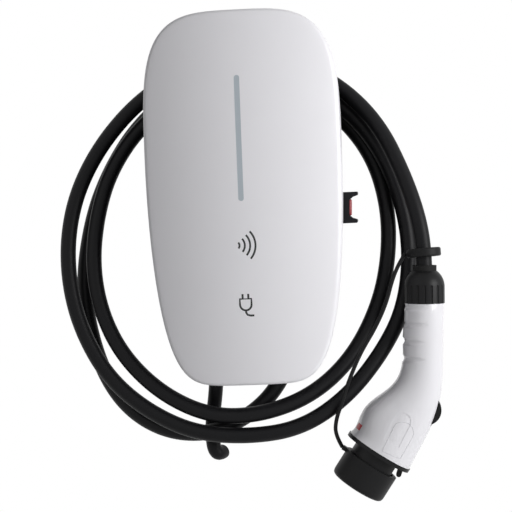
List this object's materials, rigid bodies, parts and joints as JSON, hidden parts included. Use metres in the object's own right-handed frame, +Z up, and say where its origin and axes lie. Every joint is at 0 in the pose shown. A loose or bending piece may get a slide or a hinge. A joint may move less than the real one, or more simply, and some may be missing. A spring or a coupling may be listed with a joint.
{
  "type": "electric vehicle wallbox",
  "caption": "Wall-mounted car charging station with a domed shield-shaped cover, light bar, side switch, and a long cable wound behind it that ends in a capped connector.",
  "frame": {"origin": "centre of the four wall holes, on the wall", "axes": "+Z up, +Y into the wall, the front faces -Y, +X to the right as seen from the front"},
  "size_m": [0.4445, 0.143, 0.5654],
  "materials": {
    "cover": "semi-gloss light grey",
    "rear": "fine grained dark grey",
    "lens": "satin translucent",
    "circuit_board": "solder resist green",
    "component": "moulded black",
    "terminal": "moulded grey",
    "steel": "zinc plated",
    "gland": "moulded black",
    "seal": "matt",
    "cable": "satin jacket",
    "switch": "satin black",
    "rocker": "gloss red",
    "connector": "high gloss white",
    "nose": "satin black",
    "contact": "silver plated",
    "mark": "gloss red",
    "cap": "matt"
  },
  "bodies": {
    "housing": {"front_cover": "cover", "light_bar": "lens", "light_board": "circuit_board", "reader_board": "circuit_board", "cover_board_screws": "steel", "rear_housing": "rear", "cover_gasket": "seal", "cover_screws": "steel", "wall_bracket": "steel", "cable_hub": "rear", "hub_screws": "steel", "lock_screw": "steel", "main_board": "circuit_board", "board_screws": "steel", "power_relays": "component", "network_module": "circuit_board", "mounting_rail": "steel", "terminal_block": "terminal", "terminal_screws": "steel", "current_sensor": "component", "supply_gland_body": "gland", "supply_gland_nut": "gland", "supply_gland_seal": "seal", "charging_gland_body": "gland", "charging_gland_nut": "gland", "charging_gland_seal": "seal", "supply_cable": "cable", "charging_cable": "cable", "switch_guard": "switch", "switch_body": "switch", "rocker_pin": "steel", "switch_terminals": "contact", "connector_housing": "connector", "connector_nut": "connector", "connector_collar": "seal", "connector_nose": "nose", "connector_contacts": "contact", "red_mark": "mark", "lever_pin": "steel", "cap_strap": "cap", "strap_ring": "cap"},
    "rocker": {"switch_rocker": "rocker"},
    "lever": {"release_lever": "nose"},
    "cap": {"protective_cap": "cap"}
  },
  "joints": [
    {"name": "rocker_tilt", "type": "hinge", "parent": "housing", "child": "rocker", "pos_m": [0.106, -0.066, -0.017], "axis": [0, 1, 0], "range_deg": [0, 10]},
    {"name": "lever_press", "type": "hinge", "parent": "housing", "child": "lever", "pos_m": [0.183, -0.084, -0.287], "axis": [0, -1, 0], "range_deg": [0, 4], "stiffness_Nm_per_rad": 0.6, "springref_deg": -2.86},
    {"name": "cap_pull", "type": "slide", "parent": "housing", "child": "cap", "axis": [-0.5635, 0, -0.8261], "range_m": [0, 0.045], "deforming": ["cap_strap"]}
  ]
}
